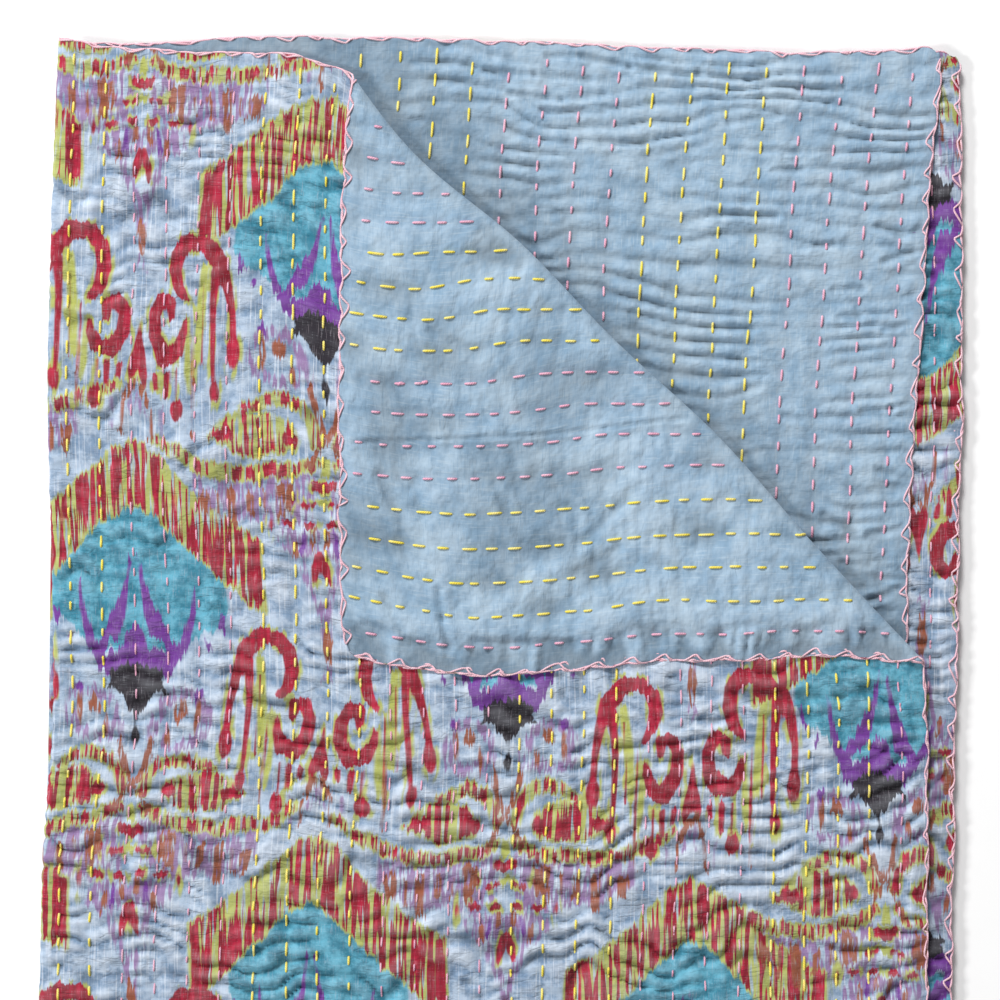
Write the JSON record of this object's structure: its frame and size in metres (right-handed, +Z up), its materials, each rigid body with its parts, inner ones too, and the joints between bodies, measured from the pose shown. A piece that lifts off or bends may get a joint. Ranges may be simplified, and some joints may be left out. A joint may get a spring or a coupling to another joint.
{
  "type": "quilted throw blanket",
  "caption": "Quilted cotton throw laid flat in a folded pile, printed face up, with a corner of the top layer turned back to show its plain backing.",
  "frame": {"origin": "on the floor, under the middle of the folded pile", "axes": "+Z up from the floor; +Y along the pile's long side, towards the hems and the turned corner; +X towards the side where the hems show, away from the side fold"},
  "size_m": [0.6493, 0.8969, 0.021],
  "materials": {
    "face_print": "matte printed cotton, pale denim blue ground with crimson, lime, turquoise, violet and rust motifs",
    "backing": "matte plain blue cotton, unevenly dyed",
    "pink_thread": "soft cotton thread",
    "yellow_thread": "soft cotton thread"
  },
  "bodies": {
    "root": {"face_cloth": "face_print", "backing_cloth": "backing"}
  },
  "joints": []
}
